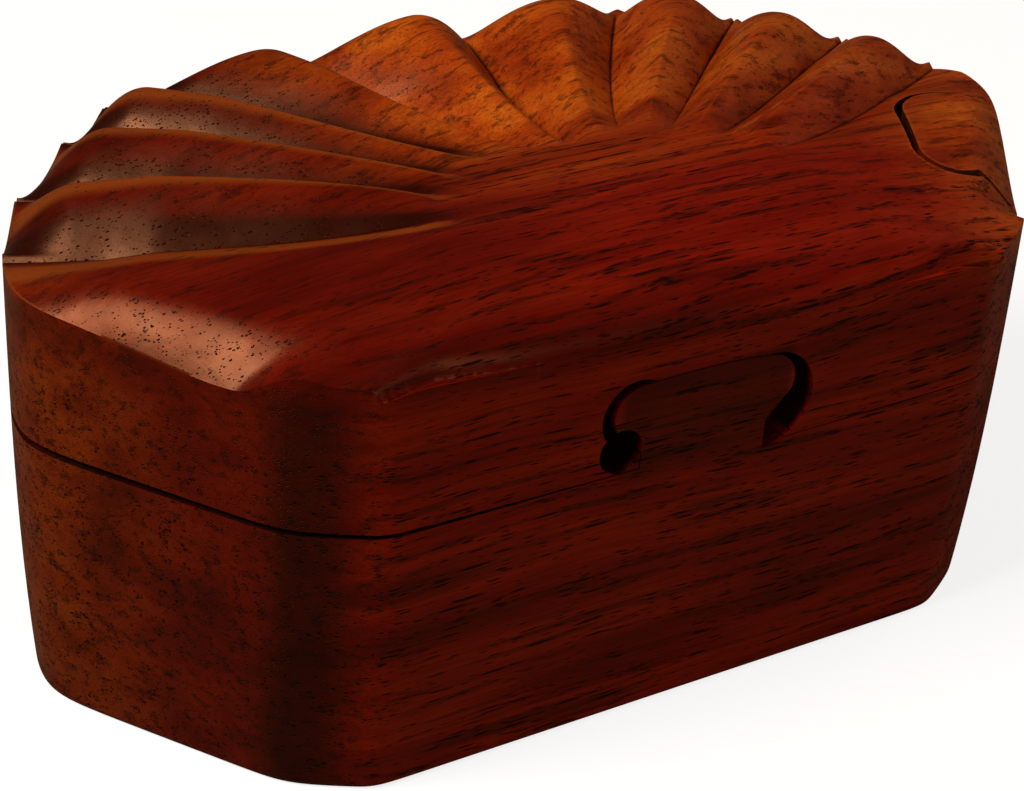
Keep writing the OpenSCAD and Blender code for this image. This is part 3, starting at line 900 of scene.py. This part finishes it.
def wood(name, shift=0.0):
    """Lacquered rosewood with its grain along x: colour bands, dark streaks, painted shade and painted
    highlights, sawn faces partly darkened by painted shade, and pores.
    The shift, in mm, gives a piece its own grain. Reflections are tinted, and the pores stay dull."""
    mat, n, shader = new_material(name, "ShaderNodeBsdfPrincipled")
    at = Place(n)
    shifted = n.scaled(at.object, (1 / MM,) * 3, (shift, shift * 0.7, 0))
    # the grain wanders a little
    bend = n.math("SUBTRACT", n.noise(shifted, BEND_SCALE, 2), 0.5)
    sideways = n.new("ShaderNodeCombineXYZ")
    n.link(n.product(bend, 5.0), sideways.inputs[1])
    n.link(n.product(bend, 7.0), sideways.inputs[2])
    grain = n.vmath("ADD", shifted, sideways.outputs[0])
    broad = n.noise(grain, BROAD_SCALE, 3, 0.55)
    fine = n.noise(grain, FINE_SCALE, 3, 0.6)
    hair = n.noise(grain, HAIR_SCALE, 2, 0.6)
    cloud = n.noise(shifted, CLOUD_SCALE, 3, 0.6)
    base = n.blend(worn_mask(n, at, cloud), n.ramp(broad, RED_BANDS), n.ramp(broad, TAN_BANDS))
    base = n.blend(n.span(fine, 0.50, 0.66, 0, 0.6), base, STREAK)
    base = n.blend(n.span(hair, 0.35, 0.62, 0.35, 0.0), base, FINE_STREAK)
    # painted shade darkens the grooves, and a painted highlight, partly rubbed wear, lightens the crests
    fan = at.zone(FAN_ZONE)
    # painted shade along the groove lines
    base = n.blend(n.product(n.span(at.pointiness, 0.44, 0.495, 0.8, 0.0), fan), base, PAINTED_GROOVE_SHADE)
    # painted highlight on the crests, partly rubbed wear
    crest_highlight = n.product(n.span(at.pointiness, 0.503, 0.54), n.span(at.x, -30, 0, 0.6, 0.35), fan)
    base = n.blend(crest_highlight, base, CREST_HIGHLIGHT)
    base = left_grooves(n, at, fan, base)
    # a darker band on the left front corner; painted shade on the tab's face under the lid's edge and on the
    # left end; nearly black sawn faces, partly painted shade in the kerfs
    # darkens the band on the left front corner
    base = n.blend(n.product(at.zone(CORNER_BAND_ZONE), 0.8), base, CORNER_BAND)
    # painted shade on the tab's face under the lid's edge
    base = n.blend(n.product(at.zone(TAB_SHADE_ZONE), 0.6), base, TAB_SHADE)
    # painted shade on the left end
    base = n.blend(n.product(at.zone(LEFT_END_SHADE_ZONE), 0.5), base, LEFT_END_SHADE)
    # nearly black sawn faces, partly painted shade in the kerfs and the slot
    base = n.blend(n.product(n.most(at.zone(SLOT_ZONE), at.zone(PARTING_ZONE)), 0.85), base, SAWN_AND_KERF_SHADE)
    base = n.blend(n.product(at.zone(KEY_KERF_ZONE), 0.8), base, SAWN_AND_KERF_SHADE)
    # painted shade darkens the left half of the top
    base = n.blend(n.product(at.zone(LEFT_TOP_SHADE_ZONE), 0.48), base, LEFT_TOP_SHADE)
    carving = n.most(fan, at.zone(LEFT_CARVING_ZONE))
    pores = pore_mask(n, grain, fine, carving)
    colour = n.blend(n.product(pores, n.span(carving, 0.0, 1.0, 0.88, 0.65)), base, PORE)
    n.link(colour, shader.inputs["Base Color"])
    rough = n.span(n.noise(shifted, GLOSS_SCALE, 3), 0.3, 0.7, 0.30, 0.39)
    n.link(n.math("ADD", rough, n.product(pores, 0.3)), shader.inputs["Roughness"])
    n.link(n.span(pores, 0.0, 1.0, 0.32, 0.08, "LINEAR"), shader.inputs["Specular IOR Level"])
    shader.inputs["Specular Tint"].default_value = SHEEN
    # surface, in mm: the hand-sanded faces wave a little, and the pores dip
    relief = n.math("ADD", n.product(n.noise(shifted, WAVE_SCALE, 3), 0.3),
                    n.product(n.noise(shifted, GRIT_SCALE, 2), 0.012))
    n.link(n.bump(n.math("SUBTRACT", relief, n.product(pores, 0.09)), 0.7), shader.inputs["Normal"])
    return mat


def mottled(name, colour, rough, metal=0.0):
    """One colour with soft darker spots of about a millimetre."""
    mat, n, shader = new_material(name, "ShaderNodeBsdfPrincipled")
    spots = n.noise(n.new("ShaderNodeTexCoord").outputs["Object"], (900, 900, 900), 3)
    n.link(n.blend(n.span(spots, 0.3, 0.7, 0, 0.35), colour, tuple(c * 0.6 for c in colour)),
           shader.inputs["Base Color"])
    shader.inputs["Roughness"].default_value = rough
    shader.inputs["Metallic"].default_value = metal
    return mat


def dress(obj, mat):
    obj.data.materials.clear()
    obj.data.materials.append(mat)


carved_wood = wood("carved_wood_lacquered")
for piece in (lid, key, base):
    dress(piece, carved_wood)
dress(slab, wood("slab_wood_lacquered", 37.0))
dress(felt, mottled("felt_green", srgb(30, 46, 32), 0.95))
dress(pin, mottled("pin_steel_brushed", srgb(170, 170, 172), 0.32, 1.0))

# ---------------------------------------------------------------- floor and background
FLOOR_HALF = 4000
FLOOR_TOP = -0.02
FLOOR_SEEN = (0.22, 0.22, 0.22)  # with the glow, the camera sees white, and the shadow on it
FLOOR_GLOW = 0.82
FLOOR_LIT = (0.12, 0.09, 0.06)  # what the box is lit by and reflects
SKY_COLOUR = (1, 0.86, 0.72, 1)
SKY_STRENGTH = 0.12
SKY_REFLECTED = 0.03


def make_floor():
    f = FLOOR_HALF
    floor = prism("floor", [(-f, -f), (f, -f), (f, f), (-f, f)], -2, FLOOR_TOP, "z")
    mat, n, both = new_material("floor_pale", "ShaderNodeAddShader")
    seen = n.new("ShaderNodeLightPath").outputs["Is Camera Ray"]
    matt = n.new("ShaderNodeBsdfDiffuse")
    n.link(n.blend(seen, FLOOR_LIT, FLOOR_SEEN), matt.inputs[0])
    glow = n.new("ShaderNodeEmission")
    glow.inputs[0].default_value = (1, 1, 1, 1)
    n.link(n.product(seen, FLOOR_GLOW), glow.inputs[1])
    n.link(matt.outputs[0], both.inputs[0])
    n.link(glow.outputs[0], both.inputs[1])
    floor.data.materials.append(mat)


def make_sky():
    """A warm, even sky, which is dimmer in reflections."""
    world = bpy.data.worlds.new("world")
    bpy.context.scene.world = world
    world.use_nodes = True
    n = Nodes(world.node_tree)
    background = world.node_tree.nodes["Background"]
    background.inputs[0].default_value = SKY_COLOUR
    reflected = n.new("ShaderNodeLightPath").outputs["Is Glossy Ray"]
    n.link(n.span(reflected, 0.0, 1.0, SKY_STRENGTH, SKY_REFLECTED, "LINEAR"), background.inputs[1])


make_floor()
make_sky()


# ---------------------------------------------------------------- soft studio lights, in metres
def lamp(name, place, size, watts, colour, at=(0, 0, 0.04)):
    data = bpy.data.lights.new(name, "AREA")
    data.shape = "RECTANGLE"
    data.size, data.size_y = size
    data.energy = watts
    data.color = colour
    obj = bpy.data.objects.new(name, data)
    bpy.context.scene.collection.objects.link(obj)
    obj.location = place
    obj.rotation_euler = (Vector(at) - Vector(place)).to_track_quat("-Z", "Y").to_euler()
    return obj


lamp("key_light", place=(-0.60, 0.00, 0.70), size=(0.40, 0.30), watts=9.2, colour=(1, 0.90, 0.78))
# a small glint on the outer ends of the left ribs, without any light of its own
glint = lamp("rib_glint", place=(-0.47, 0.16, 0.84), size=(0.14, 0.12), watts=0.7, colour=(1, 0.84, 0.68),
             at=(-0.055, 0.006, 0.065))
glint.visible_diffuse = False
# light on the right ribs, without a reflection
fill = lamp("right_back", place=(0.90, 0.10, 0.45), size=(0.50, 0.50), watts=2.2, colour=(1, 0.86, 0.68))
fill.visible_glossy = False
lamp("front_soft", place=(-0.10, -1.30, 0.50), size=(1.30, 0.60), watts=5.0, colour=(1, 0.95, 0.90))

bpy.context.view_layer.update()
